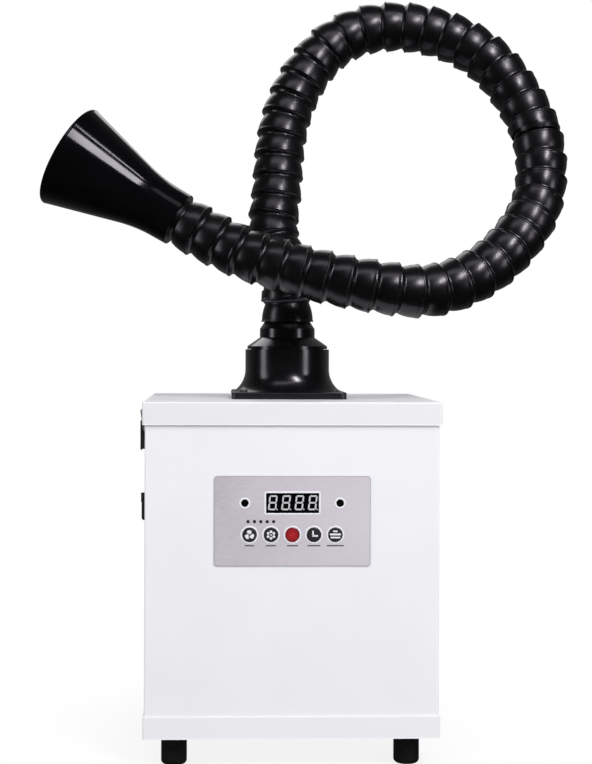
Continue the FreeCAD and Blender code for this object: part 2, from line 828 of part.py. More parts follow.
def handle_bail(side, pin_end):
    r, y = handle_rod_r, handle_half
    z0, z1 = handle_pivot_z - handle_drop, handle_pivot_z
    parts = [side_rod(side, r, (handle_o, -y, z0), (handle_o, y, z0))]
    for end in (-1, 1):
        low, high = (handle_o, end * y, z0), (handle_o, end * y, z1)
        parts.append(side_rod(side, r, low, high))
        parts.append(side_ball(side, r, low))
        parts.append(side_ball(side, r, high))
        parts.append(side_rod(side, handle_pin_r, high, (handle_o, end * pin_end, z1)))
    return joined(parts)


def make_lid():
    x, y = half_w + lid_gap, half_d + lid_gap
    lid = folded_block(x + sheet, y + sheet, skirt_z, top_z)
    rim = [e for e in lid.Edges if e.BoundBox.ZMin > top_z - tiny]
    lid = lid.makeFillet(lid_round, rim)
    lid = lid.cut(folded_block(x, y, skirt_z, top_z - sheet))
    lid = lid.cut(Part.makeCylinder(lid_hole_r, sheet, V(0, 0, top_z - sheet)))
    for px, py in port_screw_places():
        lid = lid.cut(Part.makeCylinder(port_screw_r + fit_gap, sheet, V(px, py, top_z - sheet)))
    save("lid", lid)
    gy, z = half_d - sheet, top_z - sheet
    save("lid_gasket", frame_block(inner_w, -gy, gy, z - gasket_t, z, gasket_w))


def port_screw_places():
    at = port_side / 2 - port_screw_inset
    return corners(at, at)


def make_port():
    half = port_side / 2
    plate = box(-half, half, -half, half, top_z, top_z + port_plate)
    plate = plate.makeFillet(port_corner_r, upright_edges(plate))
    plate_z = top_z + port_plate
    rim = [e for e in plate.Edges if e.BoundBox.ZMin > plate_z - tiny]
    plate = plate.makeFillet(port_round, rim)
    low, high = V(flare_r, 0, plate_z), V(collar_r, 0, collar_top - collar_straight)
    edges = [Part.Arc(low, V(flare_mid_r, 0, plate_z + flare_mid_h), high).toShape()]
    inside_z = top_z + port_round
    path = [high, V(collar_r, 0, collar_top), V(collar_bore_r, 0, collar_top),
            V(collar_bore_r, 0, inside_z), V(flare_r, 0, inside_z), low]
    edges += [Part.makeLine(a, b) for a, b in zip(path, path[1:])]
    horn = upright(Part.Face(Part.Wire(edges)).revolve(V(0, 0, 0), V(0, 0, 1), 360))
    port = joined([plate, horn])
    port = port.cut(Part.makeCylinder(collar_bore_r, 2 * collar_h, V(0, 0, top_z)))
    port = port.cut(Part.makeCylinder(clip_seat_r(), collar_h - collar_land, V(0, 0, top_z)))
    screws = []
    for x, y in port_screw_places():
        port = port.cut(Part.makeCylinder(port_screw_r + fit_gap, port_plate, V(x, y, top_z)))
        head = Part.makeCylinder(port_head_r, port_head_h, V(x, y, plate_z))
        low_z = top_z - port_screw_reach
        shank = Part.makeCylinder(port_screw_r, plate_z - low_z, V(x, y, low_z))
        screws.append(joined([head, shank]))
    save("port_flange", port)
    save("port_screws", screws)


def clip_seat_r():
    """Radius of the wide bore below the collar's land, where the retaining clip turns."""
    return collar_bore_r + clip_out + run_gap


def make_cap():
    """The cone that turns in the collar, with the cuff that takes the hose."""
    spigot_r = collar_bore_r - run_gap
    inside_r = spigot_r - spigot_wall
    clip_top = collar_top - collar_land - run_gap
    clip_z = clip_top - clip_h
    neck_out = spigot_r - spigot_wall / 2
    rim_top = cap_z + cap_rim_h
    cone_top = rim_top + cap_cone_h
    cuff_top = cone_top + cuff_h
    outside = [(inside_r, clip_z), (neck_out, clip_z), (neck_out, clip_top), (spigot_r, clip_top),
               (spigot_r, cap_z), (cap_rim_r, cap_z), (cap_rim_r, rim_top), (cuff_r, cone_top),
               (cuff_r, cuff_top), (root_r, hose_z)]
    inside = [(bore_r, hose_z), (bore_r, rim_top), (inside_r, cap_z)]
    save("swivel_cap", turned(outside + inside, V(0, 0, 0)))
    clip_r = collar_bore_r + clip_out
    clip = [(neck_out, clip_z), (clip_r, clip_z), (clip_r, clip_top), (neck_out, clip_top)]
    save("swivel_clip", turned(clip, V(0, 0, 0)))


def route_curve():
    """The hose's centreline, a clamped second-degree spline on its control points."""
    poles = [V(x, y, z + hose_z) for x, y, z in hose_route]
    spans = len(poles) - 2
    curve = Part.BSplineCurve()
    curve.buildFromPolesMultsKnots(poles, [3] + [1] * (spans - 1) + [3], list(range(spans + 1)), False, 2)
    return curve


class Hose:
    """The hose's line, with rib lips a steady pitch apart along it."""

    def __init__(self):
        self.curve = route_curve()
        self.length = self.curve.length()
        self.count = round(self.length / rib_pitch)
        self.pitch = self.length / self.count

    def at(self, distance):
        """The point and direction at a distance along the line, straight past its end."""
        inside = min(max(distance, 0.0), self.length)
        u = self.curve.parameterAtDistance(inside, self.curve.FirstParameter)
        direction = V(*self.curve.tangent(u)[0])
        return self.curve.value(u) + direction * (distance - inside), direction

    def joint(self, rib):
        """The centre and direction of the ball joint under a rib's lip."""
        return self.at(rib * self.pitch + lip_reach)


def ring(centre, direction, radius):
    """A circle across the hose, its X axis held steady against the world's Y."""
    circle = Part.Circle(centre, direction, radius)
    across = V(0, 1, 0) - direction * direction.y
    circle.XAxis = across.normalize()
    return Part.Wire(circle.toShape())


def tube(outer, inner):
    """A ribbed tube through rings (centre, direction, radius), with its bore."""
    shells, ends = [], []
    for rings in (outer, inner):
        wires = [ring(*r) for r in rings]
        shells.append(Part.makeLoft(wires, False, True))
        ends.append((wires[0], wires[-1]))
    faces = shells[0].Faces + shells[1].Faces
    for out, hole in zip(ends[0], ends[1]):
        faces.append(Part.makeFace([out, hole], "Part::FaceMakerBullseye"))
    shell = Part.Shell(faces)
    shell.sewShape()
    return upright(Part.Solid(shell))


def rib_rings(hose, rib, first_frame=None):
    """Four rings of one rib: lip, belly, waist and root."""
    rings = []
    for share, radius in ((0, lip_r), (belly_at, belly_r), (waist_at, waist_r), (root_at, root_r)):
        place = hose.at((rib + share) * hose.pitch)
        if first_frame and share < waist_at:
            centre, direction = first_frame
            place = centre + direction * (share * hose.pitch - lip_reach), direction
        rings.append((*place, radius))
    return rings


def hose_span(hose, first, last, starts_in_socket, ends_in_ball):
    """The ribs from one lip to another, with the joint halves at its ends."""
    outer = []
    for rib in range(first, last):
        socket = hose.joint(rib) if starts_in_socket and rib == first else None
        outer += rib_rings(hose, rib, socket)
    inner = [(centre, direction, bore_r) for centre, direction, _ in outer[::2]]
    if not ends_in_ball:
        end = hose.at(last * hose.pitch)
        outer.append((*end, root_r))
        inner.append((*end, bore_r))
        solid = tube(outer, inner)
    else:
        centre, direction = hose.joint(last)
        outer = outer[:-2]
        inner = inner[:-1]
        back, shoulder = centre - direction * ball_back, centre - direction * ball_shoulder
        outer += [(shoulder, direction, root_r), (back, direction, ball_neck_r)]
        inner += [(shoulder, direction, ball_bore_r), (back, direction, ball_bore_r)]
        solid = joined([tube(outer, inner), ball(centre, direction)])
    if starts_in_socket:
        solid = solid.cut(Part.makeSphere(ball_r + run_gap, hose.joint(first)[0]))
    return solid


def ball(centre, direction):
    """The hollow ball at the end of a span."""
    meet = -math.sqrt(ball_r**2 - ball_neck_r**2)
    tip_r = math.sqrt(ball_r**2 - ball_tip**2)
    corner = [V(ball_bore_r, 0, -ball_back), V(ball_neck_r, 0, -ball_back), V(ball_neck_r, 0, meet)]
    tip = [V(tip_r, 0, ball_tip), V(ball_bore_r, 0, ball_tip), V(ball_bore_r, 0, -ball_back)]
    edges = [Part.makeLine(a, b) for a, b in zip(corner, corner[1:])]
    edges.append(Part.Arc(corner[-1], V(ball_r, 0, 0), tip[0]).toShape())
    edges += [Part.makeLine(a, b) for a, b in zip(tip, tip[1:])]
    solid = upright(Part.Face(Part.Wire(edges)).revolve(V(0, 0, 0), V(0, 0, 1), 360))
    solid.Placement = FreeCAD.Placement(centre, FreeCAD.Rotation(V(0, 0, 1), direction))
    return solid


def make_hose():
    hose = Hose()
    lower = swivel_rib_count
    upper = lower + lower_arm_rib_count
    cuts = [0, lower]
    cuts += [lower + round((upper - lower) * i / lower_spans) for i in range(1, lower_spans + 1)]
    cuts += [upper + round((hose.count - upper) * i / upper_spans) for i in range(1, upper_spans + 1)]
    joints = (lower, upper, hose.count)
    for number, (first, last) in enumerate(zip(cuts, cuts[1:]), 1):
        span = hose_span(hose, first, last, first in joints, last in joints)
        save("hose_span_%02d" % number, span)
    make_nozzle(hose)
    print("hose: length %.1f, %d ribs, pitch %.2f" % (hose.length, hose.count, hose.pitch))
    for word, rib in zip(("lower", "upper", "nozzle"), joints):
        print(word, "joint", [round(c, 2) for c in hose.joint(rib)[0]])


def make_nozzle(hose):
    """The trumpet, with the last ball's socket in its neck."""
    end, direction = hose.at(hose.length)
    bell_z = neck_l + bell_l
    w = nozzle_wall
    horn = turned([(bore_r, 0), (neck_r, 0), (neck_tip_r, neck_l), (mouth_r, bell_z), (mouth_r - w, bell_z),
                   (neck_tip_r - w, neck_l), (bore_r, neck_bore_l)], V(0, 0, 0))
    kink = [e for e in horn.Edges if len(e.Vertexes) == 1 and near(e.Curve, neck_tip_r, neck_l)]
    horn = horn.makeFillet(neck_blend, kink)
    bead = Part.makeTorus(mouth_r - w / 2, mouth_bead / 2, V(0, 0, bell_z))
    horn = joined([horn, bead])
    horn.Placement = FreeCAD.Placement(end, FreeCAD.Rotation(V(0, 0, 1), direction))
    horn = horn.cut(Part.makeSphere(ball_r + run_gap, hose.joint(hose.count)[0]))
    save("nozzle", horn)


def near(curve, radius, height):
    """Whether an edge's curve is the circle of that radius at that height."""
    if not isinstance(curve, Part.Circle):
        return False
    return abs(curve.Radius - radius) < tiny and abs(curve.Center.z - height) < tiny


def main():
    os.makedirs("parts", exist_ok=True)
    make_feet()
    make_tray()
    make_casing()
    make_rear()
    make_panel()
    make_filters()
    make_fan()
    make_power()
    make_latches()
    make_handles()
    make_lid()
    make_port()
    make_cap()
    make_hose()


main()
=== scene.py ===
import bisect
import json
import math

import bmesh
import bpy
from mathutils import Matrix, Vector, noise


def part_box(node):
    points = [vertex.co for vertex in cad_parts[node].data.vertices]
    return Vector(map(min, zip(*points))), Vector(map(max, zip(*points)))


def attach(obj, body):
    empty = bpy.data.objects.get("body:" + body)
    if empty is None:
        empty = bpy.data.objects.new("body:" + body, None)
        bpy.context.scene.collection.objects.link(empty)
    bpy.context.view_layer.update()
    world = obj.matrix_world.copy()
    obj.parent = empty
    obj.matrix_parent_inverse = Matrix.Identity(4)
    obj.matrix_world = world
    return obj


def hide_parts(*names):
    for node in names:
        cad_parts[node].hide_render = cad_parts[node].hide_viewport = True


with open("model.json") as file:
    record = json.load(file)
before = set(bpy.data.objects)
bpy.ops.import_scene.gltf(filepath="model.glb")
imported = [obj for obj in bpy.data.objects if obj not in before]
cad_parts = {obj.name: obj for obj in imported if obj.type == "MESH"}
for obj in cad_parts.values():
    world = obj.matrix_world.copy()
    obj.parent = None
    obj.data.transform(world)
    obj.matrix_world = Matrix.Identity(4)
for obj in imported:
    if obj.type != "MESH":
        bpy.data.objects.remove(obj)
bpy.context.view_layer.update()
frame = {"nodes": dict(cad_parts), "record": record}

# Looks of the bench fume extractor. Metres, in the CAD frame:
# +X is right, +Y is away from the user, +Z is up.

nodes = frame["nodes"]
slot_of = {row["node"]: row["material_slot"] for row in frame["record"]["subparts"]}
colour_of = {row["slot"]: row["base_color"] for row in frame["record"]["materials"]}
mm = 0.001

# Camera, worked out from the lid's and the tray's corners in the photograph
image_w, image_h = 592, 764
focal_px = 1506
principal_px = (273, 346.5)
camera_place = (-0.0668, -1.5671, 0.4045)
camera_yaw = 1.9           # degrees to the right
camera_roll = 0.2
sensor = 36.0              # millimetres along the picture's long side

# Surroundings: what lights the object, and the dimmer room that its shine mirrors
ambient = 0.60
mirrored_ambient = 0.02    # in front, so that polished blacks stay black
mirrored_behind = 0.16
sky_tint = (0.95, 0.96, 1.0)
lamp_tint = (0.985, 0.975, 1.0)
deep_black = 0.16          # polished blacks look darker than their plain colour
deepest_black = 0.08       # the hose, whose softer shine greys it
black_sheen = (0.97, 0.92, 1.0)
cabinet_middle = (0, 0, 0.42)
nozzle_middle = (-0.181, -0.089, 0.588)

# Softboxes: name, azimuth to the right of the user and elevation in degrees, distance, width and height
# in metres, power in watts, the point aimed at, clockwise lean in degrees
softboxes = [
    ("key_softbox", 30.9, 31.7, 2.2, 0.26, 0.78, 26, nozzle_middle, 39),
    ("right_softbox", 49, 6, 2.3, 0.5, 0.8, 6, cabinet_middle, 0),
    ("thin_strip", 51.7, 46.0, 2.5, 0.24, 0.13, 4, nozzle_middle, 39),
    ("left_softbox", -70, 11, 2.3, 0.6, 1.4, 9, cabinet_middle, 0),
    ("front_fill", -10, 58, 2.8, 2.2, 0.8, 9, cabinet_middle, 0),
    ("back_fill", 190, 40, 2.6, 2.0, 1.4, 16, cabinet_middle, 0),
]

# Hose: its centreline's control points, as offsets from its foot on the swivel cap
hose_route = [
    (0, 0, 0), (0, 0, 0.048), (-0.017, 0.016, 0.092), (-0.011, 0.027, 0.128), (-0.006, 0.044, 0.204),
    (0.014, 0.058, 0.260), (0.050, 0.064, 0.305), (0.100, 0.060, 0.323), (0.160, 0.050, 0.316),
    (0.210, 0.036, 0.289), (0.243, 0.021, 0.246), (0.265, 0, 0.192), (0.262, -0.021, 0.132),
    (0.238, -0.042, 0.089), (0.196, -0.062, 0.049), (0.140, -0.080, 0.027), (0.084, -0.089, 0.033),
    (0.024, -0.087, 0.044), (-0.040, -0.078, 0.063), (-0.082, -0.068, 0.083), (-0.111, -0.063, 0.100),
]
rib_count = 49
swivel_ribs = 2
lower_arm_ribs = 25
ring_sides = 72
lip_r = 27.0 * mm
belly_r = 26.5 * mm
root_r = 23.0 * mm
bore_r = 20.0 * mm
rim_end = 0.05             # shares of a rib's pitch
belly_start = 0.075
root_at = 0.80
belly_power = 2.2
flare_power = 2.0
ball_r = 22.5 * mm
socket_r = 22.8 * mm
ball_neck_r = 19.3 * mm
ball_bore_r = 16.5 * mm
ball_tip = 8.0 * mm
lip_reach = 7.0 * mm       # socket lip behind the ball's centre
shoulder = 12.4 * mm       # end of the rib before a ball, behind the ball's centre
bore_taper = 5.0 * mm      # where the bore narrows towards a ball
last_rib_part = 0.5        # share of the last rib that follows the route, before it straightens to the ball

# Nozzle: a horn turned about the hose's last direction, measured from the hose's end
neck_r = 27.2 * mm
kink_r = 27.8 * mm         # where the neck's and the bell's lines meet
kink_at = 35.5 * mm
neck_blend = (17 * mm, 19 * mm)
mouth_r = 53.2 * mm
mouth_at = 129.0 * mm
horn_wall = 2.4 * mm
bead_r = 1.5 * mm
neck_bore_at = 21.0 * mm
horn_sides = 128

# Print and trim on the control overlay, measured in the photograph
digit_count = 4
digit_pitch, digit_h, digit_w, digit_bar = 12.7 * mm, 14.2 * mm, 8.0 * mm, 1.5 * mm
digit_slant = 0.11
digit_shift = (0.2 * mm, 0.4 * mm)
bezel_margin, bezel_corner = 1.9 * mm, 1.0 * mm
receiver_x, receiver_rim_r = 45.5 * mm, 4.5 * mm
button_rim_r = 7.75 * mm
rim_w, rim_h = 1.7 * mm, 0.35 * mm
label_drop, label_h, label_corner = 10.4 * mm, 1.2 * mm, 0.4 * mm
label_w = {"button_fan": 9.0 * mm, "button_mode": 9.6 * mm, "button_power": 10.6 * mm,
           "button_timer": 12.4 * mm, "button_level": 16.5 * mm}
# the border is a dark line of painted shade just inside the overlay's edge
border_w, border_h, border_corner = 148.6 * mm, 85.0 * mm, 3.2 * mm
digit_proud, label_proud, sign_proud = 0.06 * mm, 0.04 * mm, 0.07 * mm

# Screws: head height and shank radius; the cross recess as shares of the head's radius and height
port_head_h, port_shank_r = 2.6 * mm, 1.95 * mm
rear_head_h, rear_shank_r = 2.3 * mm, 1.75 * mm
recess_reach, recess_half_w, recess_floor = 0.52, 0.15, 0.35


class Shader:
    """A material's nodes, with short ways to add and join them. Coordinates are metres."""

    def __init__(self, name, colour, roughness, metallic=0.0):
        self.material = bpy.data.materials.new(name)
        self.material.use_nodes = True
        self.tree = self.material.node_tree
        self.bsdf = self.tree.nodes["Principled BSDF"]
        self.colour = tuple(colour)
        self.set("Base Color", (*colour, 1))
        self.set("Roughness", roughness)
        self.set("Metallic", metallic)
        self.place = self.tree.nodes.new("ShaderNodeTexCoord").outputs["Object"]

    def set(self, socket, value):
        self.bsdf.inputs[socket].default_value = value

    def link(self, source, node, socket):
        self.tree.links.new(source, node.inputs[socket])

    def new(self, kind, **values):
        node = self.tree.nodes.new(kind)
        for key, value in values.items():
            setattr(node, key, value)
        return node

    def stretched(self, scale):
        """The coordinates, scaled along each axis."""
        node = self.new("ShaderNodeMapping")
        node.inputs["Scale"].default_value = scale
        self.link(self.place, node, "Vector")
        return node.outputs["Vector"]

    def noise(self, scale, detail=2.0, stretch=None):
        node = self.new("ShaderNodeTexNoise")
        node.inputs["Scale"].default_value = scale
        node.inputs["Detail"].default_value = detail
        self.link(self.stretched(stretch) if stretch else self.place, node, "Vector")
        return node.outputs["Fac"]

    def cells(self, scale, output="Distance"):
        node = self.new("ShaderNodeTexVoronoi")
        node.inputs["Scale"].default_value = scale
        self.link(self.place, node, "Vector")
        return node.outputs[output]

    def away(self, point):
        """Distance from a point."""
        node = self.new("ShaderNodeVectorMath", operation="DISTANCE")
        node.inputs[1].default_value = point
        self.link(self.place, node, 0)
        return node.outputs["Value"]

    def ranged(self, source, low, high, start=0.3, end=0.7):
        """source from start to end, spread over low to high."""
        node = self.new("ShaderNodeMapRange")
        for socket, value in (("From Min", start), ("From Max", end), ("To Min", low), ("To Max", high)):
            node.inputs[socket].default_value = value
        self.link(source, node, "Value")
        return node.outputs["Result"]

    def rough(self, source, low, high):
        self.link(self.ranged(source, low, high), self.bsdf, "Roughness")

    def times(self, a, b):
        node = self.new("ShaderNodeMath", operation="MULTIPLY")
        self.link(a, node, 0)
        self.link(b, node, 1)
        return node.outputs["Value"]

    def tint(self, factor, other):
        """Mixes what reaches the base colour with another colour."""
        node = self.new("ShaderNodeMix", data_type="RGBA")
        before = self.bsdf.inputs["Base Color"].links
        if before:
            self.link(before[0].from_socket, node, 6)
        else:
            node.inputs[6].default_value = (*self.colour, 1)
        node.inputs[7].default_value = (*other, 1)
        self.link(factor, node, 0)
        self.link(node.outputs[2], self.bsdf, "Base Color")

    def bump(self, height, strength, distance):
        node = self.new("ShaderNodeBump")
        node.inputs["Strength"].default_value = strength
        node.inputs["Distance"].default_value = distance
        before = self.bsdf.inputs["Normal"].links
        if before:
            self.link(before[0].from_socket, node, "Normal")
        self.link(height, node, "Height")
        self.link(node.outputs["Normal"], self.bsdf, "Normal")

    def edges(self, width):
        """A mask that is 1 along the solid's edges."""
        bevel = self.new("ShaderNodeBevel", samples=4)
        bevel.inputs["Radius"].default_value = width
        geometry = self.new("ShaderNodeNewGeometry")
        dot = self.new("ShaderNodeVectorMath", operation="DOT_PRODUCT")
        self.link(bevel.outputs["Normal"], dot, 0)
        self.link(geometry.outputs["True Normal"], dot, 1)
        return self.ranged(dot.outputs["Value"], 1, 0, 0.86, 0.995)


def shade(colour, factor):
    return tuple(min(1.0, c * factor) for c in colour)


def powder_paint(name, colour):
    """Powder-coated sheet: orange peel, faint mottling, and a painted highlight where it turns over an edge.
    """
    s = Shader(name, colour, 0.4)
    s.tint(s.ranged(s.noise(16, 4), 0, 0.7), shade(colour, 0.965))
    s.tint(s.ranged(s.noise(1500, 1), 0, 0.35, 0.55, 0.8), shade(colour, 0.9))
    # painted highlight: the colour is lightened along the edges, where the bends catch the light
    s.tint(s.edges(2.5 * mm), shade(colour, 1.3))
    s.rough(s.noise(35, 3), 0.33, 0.46)
    s.bump(s.noise(520, 2), 0.10, 0.25 * mm)
    return s.material


def worn_paint(name, colour):
    """Black paint on pressed steel, rubbed bright along the edges."""
    colour = shade(colour, 0.4)
    s = Shader(name, colour, 0.42)
    s.tint(s.ranged(s.noise(60, 3), 0, 0.6), shade(colour, 2.2))
    rubbed = s.times(s.edges(0.5 * mm), s.ranged(s.noise(240, 4), 0, 0.8, 0.45, 0.65))
    bare_steel = (0.22, 0.22, 0.23)
    s.tint(rubbed, bare_steel)
    s.rough(s.noise(90, 3), 0.34, 0.5)
    s.bump(s.noise(900, 2), 0.12, 0.2 * mm)
    return s.material


def polished(name, colour, smooth, dull, shine):
    """Polished moulding: slight waviness, hairlines and handling marks."""
    colour = shade(colour, deep_black)
    s = Shader(name, colour, smooth)
    s.set("Specular IOR Level", 0.5 * shine)
    s.set("Specular Tint", (*black_sheen, 1))
    s.set("Coat Weight", 0.25 * shine)
    s.set("Coat Roughness", smooth)
    s.tint(s.ranged(s.noise(40, 3), 0, 0.8), shade(colour, 1.6))
    s.rough(s.noise(28, 5), smooth, dull)
    s.bump(s.noise(260, 2, (1, 1, 0.06)), 0.002, 0.2 * mm)
    s.bump(s.noise(36, 2), 0.012, 1.0 * mm)
    return s.material


def gloss_plastic(name, colour):
    return polished(name, colour, 0.09, 0.15, 0.24)


def half_gloss_plastic(name, colour):
    return polished(name, colour, 0.17, 0.27, 1.0)


def satin_plastic(name, colour):
    """Spark-grained moulding."""
    s = Shader(name, colour, 0.36)
    s.tint(s.ranged(s.noise(55, 3), 0, 0.8), shade(colour, 1.5))
    s.rough(s.noise(70, 4), 0.27, 0.38)
    s.bump(s.noise(2200, 2), 0.06, 0.15 * mm)
    s.bump(s.noise(120, 3), 0.03, 0.5 * mm)
    return s.material


def rubber(name, colour):
    colour = shade(colour, deep_black)
    s = Shader(name, colour, 0.75)
    s.set("Specular IOR Level", 0.2)
    s.tint(s.ranged(s.noise(300, 5), 0, 0.5, 0.5, 0.75), shade(colour, 2.6))
    s.rough(s.noise(140, 3), 0.62, 0.85)
    s.bump(s.noise(1600, 3), 0.25, 0.2 * mm)
    return s.material


def steel(name, colour):
    """Zinc-plated steel with drawing lines."""
    s = Shader(name, colour, 0.32, 1.0)
    s.tint(s.ranged(s.noise(90, 4), 0, 0.7), shade(colour, 0.72))
    s.rough(s.noise(420, 3, (1, 1, 0.1)), 0.24, 0.42)
    s.bump(s.noise(900, 2, (1, 1, 0.08)), 0.08, 0.1 * mm)
    return s.material


def alloy(name, colour):
    """Folded or extruded aluminium, brushed along X."""
    s = Shader(name, colour, 0.38, 1.0)
    s.tint(s.ranged(s.noise(20, 3), 0, 0.6), shade(colour, 0.82))
    s.rough(s.noise(700, 2, (0.03, 1, 1)), 0.28, 0.46)
    s.bump(s.noise(1400, 2, (0.03, 1, 1)), 0.1, 0.1 * mm)
    return s.material


def printed_film(name, colour):
    """Silver-grey overlay film: fine satin grain, faint cloudiness, and a painted sheen: lighter on the
    right, darker towards the left.
    """
    lilac = (1.21, 1.15, 1.17)
    colour = tuple(c * cast for c, cast in zip(colour, lilac))
    s = Shader(name, colour, 0.45, 0.1)
    low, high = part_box("control_overlay")
    right_end = (high.x, low.y, (low.z + high.z) / 2)
    # painted sheen: the film darkens with distance from its right end, as the light falls off towards the
    # left
    s.tint(s.ranged(s.away(right_end), 0, 1, 0, high.x - low.x), shade(colour, 0.70))
    s.tint(s.ranged(s.noise(12, 3), 0, 0.7), shade(colour, 0.93))
    s.tint(s.ranged(s.noise(1800, 2, (0.08, 1, 1)), 0, 0.35), shade(colour, 1.12))
    s.rough(s.noise(24, 3), 0.38, 0.5)
    s.bump(s.noise(2600, 2), 0.05, 0.08 * mm)
    return s.material


def foam(name, colour):
    s = Shader(name, colour, 0.95)
    # painted shade: the colour darkens towards the middle of each cell, where the bump sinks into a pore
    s.tint(s.ranged(s.cells(420), 0.9, 0, 0.0, 0.6), shade(colour, 0.25))
    s.bump(s.cells(420), 0.9, 1.0 * mm)
    return s.material


def fibre(name, colour):
    """Matted white fibre."""
    s = Shader(name, colour, 0.9)
    s.tint(s.ranged(s.noise(260, 6, (1, 0.2, 1)), 0, 0.9), shade(colour, 0.72))
    s.set("Sheen Weight", 0.3)
    s.bump(s.noise(420, 6, (1, 0.2, 1)), 0.7, 0.8 * mm)
    return s.material


def granules(name, colour):
    """A bed of crushed charcoal."""
    s = Shader(name, colour, 0.6)
    # painted shade and highlight: darker in each cell's hollow and lighter up its raised rim, following the
    # bump
    s.tint(s.ranged(s.cells(320), 0, 0.8, 0.05, 0.6), shade(colour, 4))
    s.rough(s.cells(320), 0.45, 0.85)
    s.bump(s.cells(320), 1.0, 1.6 * mm)
    return s.material


def paper(name, colour):
    s = Shader(name, colour, 0.85)
    s.tint(s.ranged(s.noise(500, 6), 0, 0.7), shade(colour, 0.86))
    s.bump(s.noise(900, 4), 0.3, 0.2 * mm)
    return s.material


def board(name, colour):
    """Solder mask over faint copper runs."""
    s = Shader(name, colour, 0.3)
    s.tint(s.ranged(s.cells(230, "Color"), 0, 0.7, 0.35, 0.5), shade(colour, 1.9))
    s.rough(s.noise(120, 2), 0.24, 0.38)
    s.bump(s.cells(230), 0.1, 0.1 * mm)
    return s.material


def lens(name, colour):
    """Small smoked lenses."""
    colour = shade(colour, deep_black)
    s = Shader(name, colour, 0.2)
    s.tint(s.ranged(s.noise(900, 2), 0, 0.5), shade(colour, 2))
    s.rough(s.noise(700, 2), 0.14, 0.28)
    return s.material


def ink(name, colour):
    """Screen-printed ink, a little uneven; the same flat coat also draws the dark line of painted shade round
    the overlay.
    """
    s = Shader(name, colour, 0.5)
    s.tint(s.ranged(s.noise(1400, 3), 0, 0.6), shade(colour, 0.82))
    s.rough(s.noise(900, 2), 0.42, 0.58)
    s.bump(s.noise(3000, 2), 0.08, 0.05 * mm)
    return s.material


def red_plastic(name, colour):
    """Clear red moulding, darker towards its edge."""
    s = Shader(name, shade(colour, 0.75), 0.25)
    low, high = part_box("button_power")
    hub = ((low.x + high.x) / 2, low.y, (low.z + high.z) / 2)
    s.tint(s.ranged(s.away(hub), 0, 1, 1.5 * mm, (high.x - low.x) / 2), shade(colour, 0.22))
    s.tint(s.ranged(s.noise(400, 3), 0, 0.4), shade(colour, 0.4))
    s.rough(s.noise(300, 3), 0.2, 0.32)
    s.bump(s.noise(1500, 2), 0.04, 0.1 * mm)
    return s.material


def hose_plastic(name, colour):
    """Deep black polypropylene with a soft shine, scuffed along the lips."""
    colour = shade(colour, deepest_black)
    s = Shader(name, colour, 0.3)
    s.set("Specular IOR Level", 0.55)
    s.set("Specular Tint", (*black_sheen, 1))
    s.tint(s.ranged(s.noise(60, 4), 0, 0.8), shade(colour, 2))
    scuffed = s.times(s.edges(0.4 * mm), s.ranged(s.noise(180, 4), 0, 0.7, 0.5, 0.7))
    scuff_grey = (0.05, 0.05, 0.052)
    s.tint(scuffed, scuff_grey)
    s.rough(s.noise(45, 4), 0.25, 0.33)
    s.bump(s.noise(1500, 2), 0.03, 0.15 * mm)
    s.bump(s.noise(90, 3), 0.05, 0.6 * mm)
    return s.material


finish_of = {
    "white_paint": powder_paint, "lid_paint": powder_paint, "inner_steel": powder_paint,
    "fitting_black": worn_paint, "foot_rubber": rubber, "seal_foam": rubber, "zinc_steel": steel,
    "black_screw": worn_paint, "panel_silver": printed_film, "display_black": gloss_plastic,
    "receiver_black": lens, "light_lens": lens, "button_black": satin_plastic, "button_red": red_plastic,
    "board_green": board, "switch_black": satin_plastic, "filter_foam": foam, "carbon": granules,
    "filter_paper": paper, "prefilter_fibre": fibre, "frame_alloy": alloy, "motor_black": alloy,
    "fan_plastic": satin_plastic, "inlet_black": satin_plastic, "supply_alloy": alloy,
    "port_gloss": half_gloss_plastic, "hose_black": hose_plastic, "nozzle_gloss": gloss_plastic,
}
materials = {slot: finish(slot, colour_of[slot][:3]) for slot, finish in finish_of.items()}
white_ink = ink("white_ink", (0.82, 0.82, 0.83))
grey_ink = ink("grey_ink", (0.075, 0.07, 0.08))
segment_ink = ink("segment_ink", (0.6, 0.6, 0.6))
rim_ink = ink("rim_ink", (0.88, 0.87, 0.89))
# painted shade: the dark grey of the line round the overlay's edge
border_shade_ink = ink("border_shade_ink", (0.42, 0.41, 0.44))


def paint_nodes():
    for name, node in nodes.items():
        node.data.materials.clear()
        node.data.materials.append(materials[slot_of[name]])


def piece(name, mesh, body, material, stands_for=()):
    """A new object from a bmesh, riding on a body."""
    bmesh.ops.recalc_face_normals(mesh, faces=mesh.faces)
    data = bpy.data.meshes.new(name)
    mesh.to_mesh(data)
    mesh.free()
    data.shade_smooth()
    data.set_sharp_from_angle(angle=math.radians(38))
    data.materials.append(material)
    made = bpy.data.objects.new(name, data)
    bpy.context.scene.collection.objects.link(made)
    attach(made, body)
    if stands_for:
        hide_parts(*stands_for)
    return made


def skin(mesh, rings, closed=True):
    """Quads between rings of equal length, and back to the first ring if closed."""
    made = [[mesh.verts.new(p) for p in ring] for ring in rings]
    pairs = list(zip(made, made[1:]))
    if closed:
        pairs.append((made[-1], made[0]))
    for a, b in pairs:
        for i in range(len(a)):
            j = (i + 1) % len(a)
            mesh.faces.new((a[i], a[j], b[j], b[i]))
    return made


